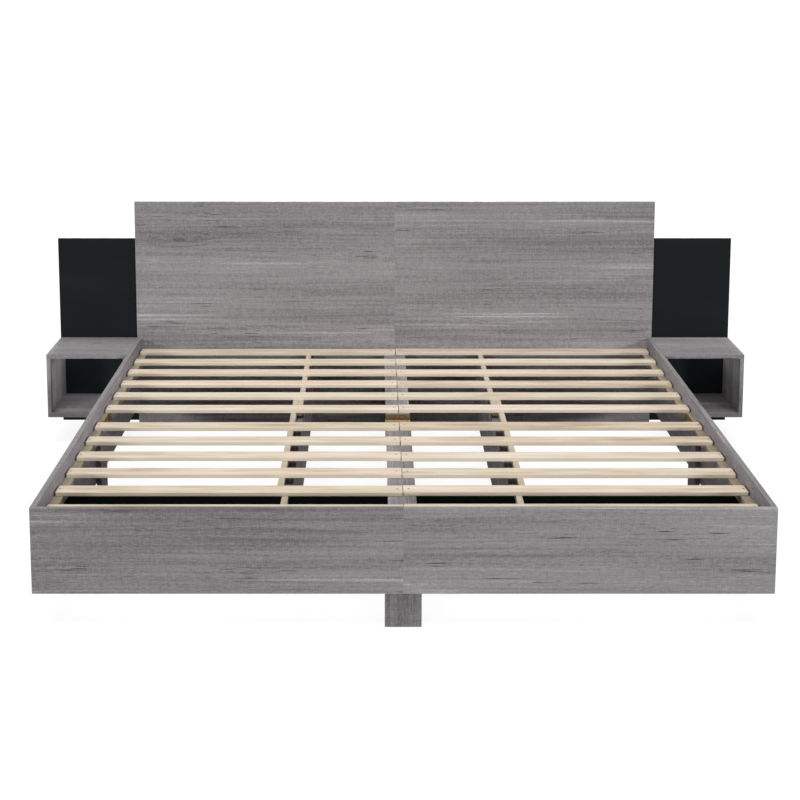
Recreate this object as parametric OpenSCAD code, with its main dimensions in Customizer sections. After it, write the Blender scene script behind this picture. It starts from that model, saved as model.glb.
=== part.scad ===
// Flat-pack platform bed with a panel headboard and two open nightstands.
// Millimetres. X runs across the bed, +Y towards the headboard, +Z up.
// The origin is on the floor, at the middle of the whole bed's outline.

/* [Deck] */
// Clear width between the side rails
deck_w = 1970; // [1700:10:2100]
// Clear length between the footboard and the headboard
deck_l = 2070; // [1950:10:2200]
// Depth of the slats' top below the rails' top edge
recess = 40; // [20:5:60]

/* [Boards] */
// Thickness of the laminated boards
board_t = 15; // [12:1:19]
// Gap between the floor and the rails, footboard and nightstands
rail_clear = 100; // [80:5:140]
// Height of the rails, footboard and nightstands
rail_h = 240; // [210:5:300]
// Length of each half of the side rails at the foot end
rail_front_l = 1027; // [980:1:1060]
// Top of the headboard above the floor
head_h = 875; // [780:5:1050]
// Width of the batten behind the headboard's seam
batten_w = 200; // [120:10:260]
// Height of the batten behind the headboard's seam
batten_h = 560; // [400:10:600]
// Height of the batten's lower end above the floor
batten_z = 160; // [120:5:170]

/* [Nightstands] */
// Width of each nightstand and of the wing panel beside the headboard
stand_w = 300; // [240:5:420]
// Depth of each nightstand in front of its wing panel
stand_d = 300; // [240:5:400]
// Top of the wing panels above the floor
wing_h = 730; // [600:5:770]
// Width of the wing panels' lap behind the headboard
wing_lap = 100; // [60:5:160]
// Gap between the wing panels and the floor
wing_clear = 8; // [5:1:20]

/* [Slats] */
// Width of a slat
slat_w = 65; // [50:1:80]
// Thickness of a slat
slat_t = 12; // [10:1:16]
// Gap between the headboard and the first slat
head_gap = 7; // [4:1:30]
// Gap between the footboard and the last slat
foot_gap = 78; // [60:1:100]
// Extra gap between the head half and the foot half of the slats
mid_extra = 50; // [40:1:60]
// Gap between a slat's outer end and the side rail
slat_end_gap = 3; // [1:0.5:6]
// Gap between the left and right slat of a row
slat_split = 2; // [1:0.5:6]
// Distance of the slats' split from the bed's centre line
slat_split_x = 3; // [-5:1:5]
// How far the slats stray from their even places, as fixed by hand
slat_stray = 2.5; // [0:0.5:3]

/* [Ledgers and strips] */
// Width of the pine ledgers on the side rails
ledger_w = 27; // [22:1:34]
// Height of the pine ledgers
ledger_h = 25; // [22:1:32]
// Length of the block that takes the ledgers' place at a side rail's joint
block_l = 160; // [150:1:184]
// How far that block reaches in front of the rails' joint
block_reach = 40; // [34:1:50]
// Height of a ledger joint block
block_h = 40; // [32:1:60]
// Thickness of a ledger joint block
block_t = 15; // [13:1:18]
// Width of the pine strips over the stringers
strip_w = 18; // [15:1:20]
// Height of the strips that hang beside the front stringers
strip_side_h = 50; // [40:1:60]
// Length of the strips beside the front stringers
strip_side_l = 1025; // [950:5:1060]
// Length of the strips on top of the rear stringers
strip_top_l = 885; // [870:1:900]

/* [Centre support] */
// Width of the centre beam
beam_w = 80; // [70:1:100]
// Thickness of the centre beam, and of the strips on the stringers
beam_t = 20; // [18:1:26]
// Width of the block that joins the beam's halves
beam_block_w = 84; // [76:1:104]
// Length of the block that joins the beam's halves
beam_block_l = 250; // [230:5:270]
// Gap between the beam's halves over that block
beam_gap = 130; // [100:5:140]
// Distance from the centre line to a stringer's inner face
stringer_x = 316; // [260:1:400]
// Thickness of a stringer
stringer_t = 24; // [20:1:28]
// Gap between the stringers and the floor, which is the feet's height
foot_h = 50; // [40:1:70]
// Length of a stringer's foot
foot_l = 33; // [28:1:45]
// Distance from the footboard to the cross board
cross_gap = 320; // [300:5:340]

/* [Legs] */
// Width of the leg behind the footboard
front_leg_w = 100; // [80:1:120]
// Width of the other legs
leg_w = 70; // [60:1:80]
// Width of the legs on the side rails
side_leg_w = 120; // [100:1:130]
// Thickness of the legs on the side rails
side_leg_t = 17; // [15:1:20]

/* [Hardware] */
// Diameter of a frame screw's shank
screw_d = 4; // [3:0.5:4.5]
// Diameter of a frame screw's head
screw_head_d = 8; // [7:0.5:9]
// Height of a frame screw's head
screw_head_h = 2; // [1.5:0.5:3]
// Diameter of a slat screw's shank
slat_screw_d = 3.5; // [3:0.5:4]
// Diameter of a slat screw's head
slat_head_d = 7; // [6:0.5:8]
// Depth that a screw goes into the last piece it holds
bite = 11; // [8:0.5:11]
// Length of an angle bracket's leg
bracket_l = 34; // [30:1:40]
// Width of an angle bracket
bracket_w = 44; // [40:1:50]
// Thickness of an angle bracket
bracket_t = 2; // [1.5:0.5:3]
// Diameter of a dowel
dowel_d = 8; // [6:1:9]
// Length of a dowel
dowel_l = 30; // [24:1:36]
// Depth of a dowel in the board that it enters from the face
dowel_in = 10; // [8:1:10]
// Diameter of a cam lock's disc
cam_d = 15; // [12:1:16]
// Depth of a cam lock's disc
cam_h = 11; // [9:0.5:11]
// Distance from a cam lock's centre to the board's end
cam_set = 24; // [20:1:30]
// Diameter of a cam bolt
cam_bolt_d = 5; // [4:0.5:6]
// Radial clearance round screws, dowels and cam locks
fit = 0.05; // [0.03:0.01:0.1]

/* [Hidden] */
$fn = 32;

LEFT = -1;
RIGHT = 1;
rows = 12;

laminate = "#807c7e";
charcoal = "#1e2226";
pine = "#dccfb6";
brown = "#8a6f52";
steel = "#b4b6b8";

// Outline: half width of the bed frame, and the places along Y
half_w = deck_w / 2 + board_t;
depth = deck_l + 3 * board_t;
y_foot = -depth / 2;              // footboard's front face
y_deck = y_foot + board_t;        // footboard's inner face
y_head = y_deck + deck_l;         // headboard's front face
y_wing = y_head + board_t;        // wing panels' front face
y_back = y_wing + board_t;        // wing panels' back face
y_rail_joint = y_deck + rail_front_l;
y_stand = y_wing - stand_d;       // nightstands' front face
x_deck = deck_w / 2;              // side rails' inner face
x_stand = half_w + stand_w;       // nightstands' outer face

// Heights
rail_top = rail_clear + rail_h;
slat_top = rail_top - recess;
slat_z = slat_top - slat_t;       // slats' underside
deck_z = slat_z - beam_t;         // underside of the beam and of the strips on top
ledger_z = slat_z - ledger_h;
block_z = slat_z - block_h;

// Slats: even pitch in each half, with a wider gap between the halves
half_rows = rows / 2;
slat_run = deck_l - head_gap - foot_gap - slat_w - mid_extra;
slat_pitch = slat_run / (rows - 1);
function row_y(n) =
    y_head - head_gap - slat_w / 2 - (n - 1) * slat_pitch - (n > half_rows ? mid_extra : 0);
function stray(n, side) = side * slat_stray * sin(67 * n + 20);
function slat_y(n, side) = row_y(n) + stray(n, side);
function gap_y(n) = (row_y(n) + row_y(n + 1)) / 2;
x_split_left = slat_split_x - slat_split / 2;
x_split_right = slat_split_x + slat_split / 2;
slat_end_x = x_deck - slat_end_gap;
slat_screw_in = 15;               // a slat screw's distance from the split
x_ledger = x_deck - ledger_w;     // ledgers' inner face

// Centre support
y_cross = y_deck + cross_gap;     // cross board's front face
y_cross_back = y_cross + board_t;
y_block = y_rail_joint - block_reach;
y_block_end = y_block + block_l;
y_beam_front = gap_y(half_rows) - beam_gap / 2;
y_beam_rear = gap_y(half_rows) + beam_gap / 2;
beam_block_t = beam_t;
beam_block_z = deck_z - beam_block_t;
x_string_out = stringer_x + stringer_t;
y_side_strip = y_cross_back + 5;
y_side_strip_end = y_side_strip + strip_side_l;
y_top_strip = y_head - strip_top_l;

// Screws: [point on the head's outer face, direction of the shank, length]
low_z = rail_clear + 50;
high_z = rail_clear + 120;
screw_zs = [low_z, high_z];
AXIS_IN = [0, -1, 0];
DOWN = [0, 0, -1];
function wide(side) = [side, 0, 0];
seat_l = board_t + bite;

function leg_screws(x, y, w, dir, l) =
    [for (s = [-1, 1], z = screw_zs) [[x + s * w / 4, y, z], dir, l]];
function front_leg_screws() =
    leg_screws(0, y_deck + board_t, front_leg_w, AXIS_IN, seat_l);
function cross_leg_screws() =
    leg_screws(0, y_cross_back + board_t, leg_w, AXIS_IN, seat_l);
function side_leg_screws(side) =
    [for (s = [-1, 1], z = [rail_clear + 25, rail_clear + 75])
        [[side * (x_deck - side_leg_t), y_rail_joint + s * side_leg_w / 4, z],
            wide(side), side_leg_t + bite]];
function ledger_screw_rows(rear) = rear ? [1, 3, 5] : [7, 9, 11];
function ledger_screws(side, rear) =
    [for (n = ledger_screw_rows(rear))
        [[side * x_ledger, gap_y(n), ledger_z + ledger_h / 2], wide(side), ledger_w + bite]];
function block_screws(side) =
    [for (s = [-1, 1])
        [[side * (x_deck - block_t), y_block + block_l / 2 + s * block_l * 0.35,
            block_z + block_h / 2], wide(side), block_t + bite]];
batten_zs = [batten_z + 60, batten_z + batten_h - 60];
function batten_screws(side) =
    [for (z = batten_zs) [[side * batten_w / 4, y_back, z], AXIS_IN, seat_l]];
wing_zs = [150, wing_h - 60];
function wing_screws(side) =
    [for (z = wing_zs)
        [[side * (half_w - wing_lap / 2), y_back, z], AXIS_IN, seat_l]];
function head_end_screws(x, zs) = [for (z = zs) [[x, y_wing, z], AXIS_IN, board_t + 3 * bite]];
function rail_end_screws(side) = head_end_screws(side * (half_w - board_t / 2), screw_zs);
function string_end_screws(side) =
    head_end_screws(side * (stringer_x + stringer_t / 2), [foot_h + 50, deck_z - 50]);
stand_zs = [rail_clear + board_t / 2, rail_top - board_t / 2];
function stand_back_screws(side) =
    [for (s = [1, 4], z = stand_zs)
        [[side * (half_w + s * stand_w / 5), y_back, z], AXIS_IN, board_t + 3 * bite]];
function stand_side_screws(side) =
    [for (s = [-1, 1], z = screw_zs)
        [[side * (half_w + board_t), y_stand + stand_d / 2 + s * stand_d / 4, z],
            wide(-side), seat_l]];
strip_screw_z = deck_z - board_t;
strip_screw_set = 100;
function side_strip_ys() =
    [y_side_strip + strip_screw_set, y_rail_joint - strip_screw_set,
        y_side_strip_end - strip_screw_set];
function side_strip_screws(side) =
    [for (y = side_strip_ys())
        [[side * (x_string_out + strip_w), y, strip_screw_z], wide(-side), strip_w + bite]];
x_top_strip = x_string_out - strip_w / 2;
function top_strip_ys() =
    [y_top_strip + strip_screw_set / 2, y_head - strip_screw_set / 2];
function top_strip_screws(side) =
    [for (y = top_strip_ys()) [[side * x_top_strip, y, slat_z], DOWN, beam_t + bite]];
function foot_strip_screws(side) =
    [[[side * x_top_strip, y_cross + board_t / 2, slat_z], DOWN, beam_t + 2 * bite]];
function beam_screws_at(y) =
    [for (s = [-1, 1]) [[s * beam_w / 3, y, slat_z], DOWN, beam_t + 2 * bite]];
function beam_front_screws() =
    concat(beam_screws_at(y_deck + board_t / 2), beam_screws_at(y_cross_back + board_t / 2));
function beam_rear_screws() = beam_screws_at(y_head - board_t / 2);
beam_lap = (beam_block_l - beam_gap) / 2;
function splice_screws(y) =
    [for (s = [-1, 1]) [[s * beam_w / 3, y, slat_z], DOWN, beam_t + bite]];
function splice_front_screws() = splice_screws(y_beam_front - beam_lap / 2);
function splice_rear_screws() = splice_screws(y_beam_rear + beam_lap / 2);
function mid_leg_screws() =
    [for (s = [-1, 1])
        [[s * leg_w / 4, gap_y(half_rows), deck_z], DOWN, beam_block_t + 2 * bite]];

// Angle brackets: [corner point, direction of the first leg, of the second leg]
bracket_z = rail_clear + 85;
bracket_screw_l = 12;
function corner_at(side, y, dir) = [[side * x_deck, y, bracket_z], wide(-side), [0, dir, 0]];
function foot_corner(side) = corner_at(side, y_deck, 1);
function cross_corner(side) = corner_at(side, y_cross_back, 1);
function string_corner(side) =
    [[side * stringer_x, y_cross_back, bracket_z], wide(-side), [0, 1, 0]];
function brackets(side) = [foot_corner(side), cross_corner(side), string_corner(side)];
screw_along = bracket_l * 0.62;
function bracket_screws_in(b, leg) =
    [for (dz = [-1, 1])
        let(out = leg == 1 ? b[2] : b[1], run = leg == 1 ? b[1] : b[2])
            [b[0] + run * screw_along + out * (bracket_t + screw_head_h)
                + [0, 0, dz * bracket_w / 4], -out, bracket_screw_l]];
function bracket_screws(b) = concat(bracket_screws_in(b, 1), bracket_screws_in(b, 2));

// Nightstand joints: dowels and cam locks stand upright in the side boards
function stand_side_x(side, inner) =
    side * (inner ? half_w + board_t / 2 : x_stand - board_t / 2);
stand_mid_y = y_stand + stand_d / 2;
cam_ys = [stand_mid_y - stand_d / 3, stand_mid_y + stand_d / 3];
stand_ends = [[rail_clear + board_t, 1], [rail_top - board_t, -1]];
foot_dowel_z = foot_h - dowel_l / 2;
foot_set = 20;                    // a middle foot's distance from the stringers' joint
function feet_ys() =
    [y_cross_back + foot_l / 2, y_rail_joint - foot_set - foot_l / 2,
        y_rail_joint + foot_set + foot_l / 2, y_head - foot_l / 2];

module block_between(lo, hi) {
    translate([min(lo.x, hi.x), min(lo.y, hi.y), min(lo.z, hi.z)])
        cube([abs(hi.x - lo.x), abs(hi.y - lo.y), abs(hi.z - lo.z)]);
}

// Turns +Z to one of the six axis directions
module aim(dir) {
    if (dir.x != 0) {
        rotate([0, 90 * dir.x, 0]) children();
    } else if (dir.y != 0) {
        rotate([-90 * dir.y, 0, 0]) children();
    } else {
        rotate([dir.z < 0 ? 180 : 0, 0, 0]) children();
    }
}

module screw(s, gap = 0, d = screw_d, head_d = screw_head_d) {
    translate(s[0]) aim(s[1]) {
        cylinder(h = screw_head_h + gap, d = head_d + 2 * gap);
        cylinder(h = s[2] + gap, d = d + 2 * gap);
    }
}

module screws(list, gap = 0) {
    for (s = list) {
        screw(s, gap);
    }
}

// A board with the clearance holes of the screws in a list
module drilled(lo, hi, list) {
    difference() {
        block_between(lo, hi);
        screws(list, fit);
    }
}

module headboard(side) {
    color(laminate)
        drilled(
            [0, y_head, 0],
            [side * half_w, y_wing, head_h],
            concat(
                batten_screws(side), wing_screws(side),
                rail_end_screws(side), string_end_screws(side)
            )
        );
}

module headboard_batten() {
    color(laminate)
        drilled(
            [-batten_w / 2, y_wing, batten_z],
            [batten_w / 2, y_back, batten_z + batten_h],
            concat(batten_screws(LEFT), batten_screws(RIGHT))
        );
}

module wing_panel(side) {
    color(charcoal)
        drilled(
            [side * (half_w - wing_lap), y_wing, wing_clear],
            [side * x_stand, y_back, wing_h],
            concat(wing_screws(side), stand_back_screws(side))
        );
}

module footboard(side) {
    color(laminate)
        drilled(
            [0, y_foot, rail_clear],
            [side * half_w, y_deck, rail_top],
            concat(front_leg_screws(), bracket_screws_in(foot_corner(side), 1))
        );
}

module front_leg() {
    color(laminate)
        drilled(
            [-front_leg_w / 2, y_deck, 0],
            [front_leg_w / 2, y_deck + board_t, deck_z],
            concat(front_leg_screws(), beam_front_screws())
        );
}

module side_rail_front(side) {
    color(laminate)
        drilled(
            [side * x_deck, y_deck, rail_clear],
            [side * half_w, y_rail_joint, rail_top],
            concat(
                ledger_screws(side, false), side_leg_screws(side), block_screws(side),
                bracket_screws_in(foot_corner(side), 2),
                bracket_screws_in(cross_corner(side), 2)
            )
        );
}

module side_rail_rear(side) {
    color(laminate)
        drilled(
            [side * x_deck, y_rail_joint, rail_clear],
            [side * half_w, y_head, rail_top],
            concat(
                ledger_screws(side, true), side_leg_screws(side), block_screws(side),
                stand_side_screws(side), rail_end_screws(side)
            )
        );
}

module side_leg(side) {
    color(laminate)
        drilled(
            [side * (x_deck - side_leg_t), y_rail_joint - side_leg_w / 2, 0],
            [side * x_deck, y_rail_joint + side_leg_w / 2, block_z],
            side_leg_screws(side)
        );
}

module ledger_blocks() {
    color(brown)
        for (side = [LEFT, RIGHT]) {
            drilled(
                [side * (x_deck - block_t), y_block, block_z],
                [side * x_deck, y_block_end, slat_z],
                block_screws(side)
            );
        }
}

module ledger(side, rear) {
    color(pine)
        difference() {
            drilled(
                [side * x_ledger, rear ? y_block_end : y_deck, ledger_z],
                [side * x_deck, rear ? y_head : y_block, slat_z],
                ledger_screws(side, rear)
            );
            slat_screw_set(side, rear ? 1 : half_rows + 1, true, fit);
        }
}

module centre_beam_front() {
    color(laminate)
        difference() {
            drilled(
                [-beam_w / 2, y_deck, deck_z],
                [beam_w / 2, y_beam_front, slat_z],
                concat(beam_front_screws(), splice_front_screws())
            );
            slat_screw_set(LEFT, half_rows + 1, false, fit);
            slat_screw_set(RIGHT, half_rows + 1, false, fit);
        }
}

module centre_beam_rear() {
    color(laminate)
        difference() {
            drilled(
                [-beam_w / 2, y_beam_rear, deck_z],
                [beam_w / 2, y_head, slat_z],
                concat(beam_rear_screws(), splice_rear_screws())
            );
            slat_screw_set(LEFT, 1, false, fit);
            slat_screw_set(RIGHT, 1, false, fit);
        }
}

module beam_joint_block() {
    color(brown)
        drilled(
            [-beam_block_w / 2, gap_y(half_rows) - beam_block_l / 2, beam_block_z],
            [beam_block_w / 2, gap_y(half_rows) + beam_block_l / 2, deck_z],
            concat(splice_front_screws(), splice_rear_screws(), mid_leg_screws())
        );
}

module centre_leg(y, top, list) {
    color(laminate)
        drilled([-leg_w / 2, y, 0], [leg_w / 2, y + board_t, top], list);
}

module centre_leg_mid() {
    centre_leg(gap_y(half_rows) - board_t / 2, beam_block_z, mid_leg_screws());
}

module centre_legs_ends() {
    centre_leg(y_cross_back, deck_z, concat(cross_leg_screws(), beam_front_screws()));
    centre_leg(y_head - board_t, deck_z, beam_rear_screws());
}

module stringer_front(side) {
    color(laminate)
        difference() {
            drilled(
                [side * stringer_x, y_cross_back, foot_h],
                [side * x_string_out, y_rail_joint, deck_z],
                concat(
                    side_strip_screws(side),
                    bracket_screws_in(string_corner(side), 2)
                )
            );
            foot_dowels(fit);
        }
}

module stringer_rear(side) {
    color(laminate)
        difference() {
            drilled(
                [side * stringer_x, y_rail_joint, foot_h],
                [side * x_string_out, y_head, deck_z],
                concat(
                    side_strip_screws(side), top_strip_screws(side), string_end_screws(side)
                )
            );
            foot_dowels(fit);
        }
}

module stringer_feet() {
    color(laminate)
        difference() {
            for (side = [LEFT, RIGHT], y = feet_ys()) {
                block_between(
                    [side * stringer_x, y - foot_l / 2, 0],
                    [side * x_string_out, y + foot_l / 2, foot_h]
                );
            }
            foot_dowels(fit);
        }
}

module slat_strips_side() {
    color(pine)
        for (side = [LEFT, RIGHT]) {
            drilled(
                [side * x_string_out, y_side_strip, slat_z - strip_side_h],
                [side * (x_string_out + strip_w), y_side_strip_end, slat_z],
                side_strip_screws(side)
            );
        }
}

module slat_strips_top() {
    color(pine)
        for (side = [LEFT, RIGHT]) {
            drilled(
                [side * (x_string_out - strip_w), y_top_strip, deck_z],
                [side * x_string_out, y_head, slat_z],
                top_strip_screws(side)
            );
        }
}

module slat_strips_foot() {
    color(pine)
        for (side = [LEFT, RIGHT]) {
            drilled(
                [side * (x_string_out - strip_w), y_deck, deck_z],
                [side * x_string_out, y_cross_back, slat_z],
                foot_strip_screws(side)
            );
        }
}

module cross_board(side) {
    color(charcoal)
        drilled(
            [0, y_cross, rail_clear],
            [side * x_deck, y_cross_back, deck_z],
            concat(
                cross_leg_screws(), foot_strip_screws(side),
                bracket_screws_in(cross_corner(side), 1),
                bracket_screws_in(string_corner(side), 1)
            )
        );
}

module stand_board(side, end) {
    color(laminate)
        difference() {
            drilled(
                [side * half_w, y_stand, end[0]],
                [side * x_stand, y_wing, end[0] - end[1] * board_t],
                stand_back_screws(side)
            );
            stand_fittings(side, fit);
        }
}

module stand_side(side, inner) {
    x = stand_side_x(side, inner);
    color(laminate)
        difference() {
            drilled(
                [x - board_t / 2, y_stand, rail_clear + board_t],
                [x + board_t / 2, y_wing, rail_top - board_t],
                inner ? stand_side_screws(side) : []
            );
            stand_fittings(side, fit);
        }
}

module slat_screw_at(x, y, gap = 0) {
    screw([[x, y, slat_top], DOWN, slat_t + bite], gap, slat_screw_d, slat_head_d);
}

function slat_screw_x(side, outer) =
    outer ? side * (x_ledger + ledger_w / 2)
        : (side < 0 ? x_split_left - slat_screw_in : x_split_right + slat_screw_in);

module slat_screw_set(side, first, outer, gap = 0) {
    for (n = [first:first + half_rows - 1]) {
        slat_screw_at(slat_screw_x(side, outer), slat_y(n, side), gap);
    }
}

module slat_half(n, side) {
    y = slat_y(n, side);
    difference() {
        block_between(
            [side < 0 ? x_split_left : x_split_right, y - slat_w / 2, slat_z],
            [side * slat_end_x, y + slat_w / 2, slat_top]
        );
        slat_screw_at(slat_screw_x(side, true), y, fit);
        slat_screw_at(slat_screw_x(side, false), y, fit);
    }
}

module slat_row(n) {
    color(pine) {
        slat_half(n, LEFT);
        slat_half(n, RIGHT);
    }
}

module slat_screws() {
    color(steel)
        for (side = [LEFT, RIGHT], first = [1, half_rows + 1], outer = [true, false]) {
            slat_screw_set(side, first, outer);
        }
}

module frame_screws() {
    color(steel) {
        screws(concat(
            front_leg_screws(), cross_leg_screws(), beam_front_screws(), beam_rear_screws(),
            splice_front_screws(), splice_rear_screws(), mid_leg_screws()
        ));
        for (side = [LEFT, RIGHT]) {
            screws(concat(
                side_leg_screws(side), ledger_screws(side, true), ledger_screws(side, false),
                block_screws(side), batten_screws(side), wing_screws(side),
                stand_back_screws(side), stand_side_screws(side), side_strip_screws(side),
                top_strip_screws(side), foot_strip_screws(side), rail_end_screws(side),
                string_end_screws(side)
            ));
            for (b = brackets(side)) {
                screws(bracket_screws(b));
            }
        }
    }
}

module angle_bracket(b) {
    difference() {
        union() {
            block_between(
                b[0] - [0, 0, bracket_w / 2],
                b[0] + b[1] * bracket_l + b[2] * bracket_t + [0, 0, bracket_w / 2]
            );
            block_between(
                b[0] - [0, 0, bracket_w / 2],
                b[0] + b[2] * bracket_l + b[1] * bracket_t + [0, 0, bracket_w / 2]
            );
        }
        screws(bracket_screws(b), fit);
    }
}

module angle_brackets() {
    color(steel)
        for (side = [LEFT, RIGHT], b = brackets(side)) {
            angle_bracket(b);
        }
}

// A cam disc in the side board's inner face, and its bolt up into the flat board
module cam_fitting(side, inner, y, end, gap = 0) {
    x = stand_side_x(side, inner);
    face_dir = (inner ? -1 : 1) * side;
    z = end[0] + end[1] * cam_set;
    translate([x - face_dir * board_t / 2, y, z]) aim([face_dir, 0, 0])
        cylinder(h = cam_h + gap, d = cam_d + 2 * gap);
    bolt_l = cam_set - cam_d / 2 - 0.3 + dowel_in;
    translate([x, y, end[0] - end[1] * dowel_in]) aim([0, 0, end[1]])
        cylinder(h = bolt_l + (gap > 0 ? 0.3 : 0), d = cam_bolt_d + 2 * gap);
}

module stand_dowel(side, inner, end, gap = 0) {
    translate([stand_side_x(side, inner), stand_mid_y, end[0] - end[1] * (dowel_in + gap)])
        aim([0, 0, end[1]])
            cylinder(h = dowel_l + 2 * gap, d = dowel_d + 2 * gap);
}

module stand_cams(side, gap = 0) {
    for (inner = [true, false], y = cam_ys, end = stand_ends) {
        cam_fitting(side, inner, y, end, gap);
    }
}

module stand_dowels(side, gap = 0) {
    for (inner = [true, false], end = stand_ends) {
        stand_dowel(side, inner, end, gap);
    }
}

module stand_fittings(side, gap) {
    stand_cams(side, gap);
    stand_dowels(side, gap);
}

module foot_dowels(gap = 0) {
    for (side = [LEFT, RIGHT], y = feet_ys()) {
        translate([side * (stringer_x + stringer_t / 2), y, foot_dowel_z - gap])
            cylinder(h = dowel_l + 2 * gap, d = dowel_d + 2 * gap);
    }
}

module cam_locks() {
    color(steel) {
        stand_cams(LEFT);
        stand_cams(RIGHT);
    }
}

module dowels() {
    color(pine) {
        stand_dowels(LEFT);
        stand_dowels(RIGHT);
        foot_dowels();
    }
}

headboard(LEFT);  // headboard_left
headboard(RIGHT);  // headboard_right
headboard_batten();
wing_panel(LEFT);  // wing_panel_left
wing_panel(RIGHT);  // wing_panel_right
footboard(LEFT);  // footboard_left
footboard(RIGHT);  // footboard_right
front_leg();
side_rail_front(LEFT);  // side_rail_front_left
side_rail_front(RIGHT);  // side_rail_front_right
side_rail_rear(LEFT);  // side_rail_rear_left
side_rail_rear(RIGHT);  // side_rail_rear_right
side_leg(LEFT);  // side_leg_left
side_leg(RIGHT);  // side_leg_right
ledger_blocks();
ledger(LEFT, false);  // ledger_front_left
ledger(RIGHT, false);  // ledger_front_right
ledger(LEFT, true);  // ledger_rear_left
ledger(RIGHT, true);  // ledger_rear_right
centre_beam_front();
centre_beam_rear();
beam_joint_block();
centre_leg_mid();
centre_legs_ends();
stringer_front(LEFT);  // stringer_front_left
stringer_front(RIGHT);  // stringer_front_right
stringer_rear(LEFT);  // stringer_rear_left
stringer_rear(RIGHT);  // stringer_rear_right
stringer_feet();
slat_strips_side();
slat_strips_top();
slat_strips_foot();
cross_board(LEFT);  // cross_board_left
cross_board(RIGHT);  // cross_board_right
stand_board(LEFT, stand_ends[1]);  // stand_top_left
stand_board(LEFT, stand_ends[0]);  // stand_bottom_left
stand_side(LEFT, false);  // stand_outer_side_left
stand_side(LEFT, true);  // stand_inner_side_left
stand_board(RIGHT, stand_ends[1]);  // stand_top_right
stand_board(RIGHT, stand_ends[0]);  // stand_bottom_right
stand_side(RIGHT, false);  // stand_outer_side_right
stand_side(RIGHT, true);  // stand_inner_side_right
slat_row(1);  // slat_row_01
slat_row(2);  // slat_row_02
slat_row(3);  // slat_row_03
slat_row(4);  // slat_row_04
slat_row(5);  // slat_row_05
slat_row(6);  // slat_row_06
slat_row(7);  // slat_row_07
slat_row(8);  // slat_row_08
slat_row(9);  // slat_row_09
slat_row(10);  // slat_row_10
slat_row(11);  // slat_row_11
slat_row(12);  // slat_row_12
slat_screws();
frame_screws();
angle_brackets();
cam_locks();
dowels();
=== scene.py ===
"""The finish of a flat-pack platform bed with a panel headboard and two open nightstands.

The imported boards, slats and legs keep their shape and get eased edges and procedural materials.
Screws, cam locks and dowels are modelled here with their recesses, threads and flutes.
Metres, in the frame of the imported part: X across the bed, +Y towards the headboard, +Z up.
"""

import math
import random

import bmesh
import bpy
from mathutils import Matrix, Vector


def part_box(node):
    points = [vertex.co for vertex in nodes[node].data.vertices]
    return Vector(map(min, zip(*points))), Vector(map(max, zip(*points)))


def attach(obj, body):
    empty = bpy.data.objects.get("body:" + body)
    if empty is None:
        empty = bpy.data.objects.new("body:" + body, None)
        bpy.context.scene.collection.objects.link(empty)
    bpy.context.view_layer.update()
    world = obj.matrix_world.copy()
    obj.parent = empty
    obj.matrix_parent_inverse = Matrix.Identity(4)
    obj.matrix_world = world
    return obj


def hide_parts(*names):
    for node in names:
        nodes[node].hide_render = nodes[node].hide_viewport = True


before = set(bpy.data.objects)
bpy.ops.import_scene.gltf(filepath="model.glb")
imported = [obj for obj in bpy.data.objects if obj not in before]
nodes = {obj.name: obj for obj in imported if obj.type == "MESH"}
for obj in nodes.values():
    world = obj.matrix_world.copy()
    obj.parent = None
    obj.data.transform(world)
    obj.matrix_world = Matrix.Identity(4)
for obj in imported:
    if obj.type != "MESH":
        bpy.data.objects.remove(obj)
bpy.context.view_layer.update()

MM = 0.001
AXES = {"x": 0, "y": 1, "z": 2}
SEED = 20

# Edge easing of each kind of piece. Edges over LONG_EDGE are eased, where they turn by more
# than SHARP_ANGLE degrees. Corners nearer than JOIN_REACH are one
BOARD_EASE = 0.8 * MM
SLAT_EASE = 1.8 * MM
STRIP_EASE = 1.4 * MM
METAL_EASE = 0.25 * MM
EASE_STEPS = 3
SLAT_EASE_STEPS = 4
METAL_EASE_STEPS = 2
SHARP_ANGLE = 40.0
LONG_EDGE = 6.0 * MM
JOIN_REACH = 0.01 * MM

# Each board's grain is moved by chance by up to GRAIN_SHIFT metres, and a second board in the
# same node by NEXT_BOARD more
GRAIN_SHIFT = 8
NEXT_BOARD = 7.3

# How far rubbed edges reach into a face. A cut end's painted shade, which stands for the shadow in
# the gap beside it, is full up to CUT_END_START from the end, and gone at CUT_END_REACH
BOARD_RUB = 2.5 * MM
THIN_RUB = 1.5 * MM
CUT_END_START = 1.0 * MM
CUT_END_REACH = 5.0 * MM


def srgb(r, g, b):
    """A colour given as 8-bit display values, as linear RGBA."""
    def linear(v):
        v = v / 255
        return v / 12.92 if v <= 0.04045 else ((v + 0.055) / 1.055) ** 2.4
    return (linear(r), linear(g), linear(b), 1.0)


# Ramps of each finish's colours over the value of its pattern. PINE_TINTS are multiplied in
GREY_TONES = (
    (0.00, srgb(78, 76, 78)),
    (0.30, srgb(115, 112, 114)),
    (0.50, srgb(138, 135, 137)),
    (0.70, srgb(154, 151, 153)),
    (1.00, srgb(184, 182, 183)),
)
BLACK_TONES = ((0.0, srgb(10, 13, 14)), (0.5, srgb(17, 21, 23)), (1.0, srgb(27, 32, 35)))
PINE_TONES = (
    (0.00, srgb(176, 159, 133)),
    (0.25, srgb(208, 192, 166)),
    (0.52, srgb(226, 211, 190)),
    (0.78, srgb(236, 223, 205)),
    (1.00, srgb(242, 232, 218)),
)
PINE_TINTS = ((0.32, srgb(251, 252, 247)), (0.50, srgb(254, 252, 251)), (0.70, srgb(255, 249, 246)))
END_TONES = ((0.35, srgb(140, 118, 86)), (0.50, srgb(168, 146, 112)), (0.65, srgb(186, 166, 132)))
FLAKE_TONES = ((0.0, srgb(70, 55, 36)), (0.5, srgb(106, 86, 56)), (1.0, srgb(142, 119, 84)))
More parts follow.
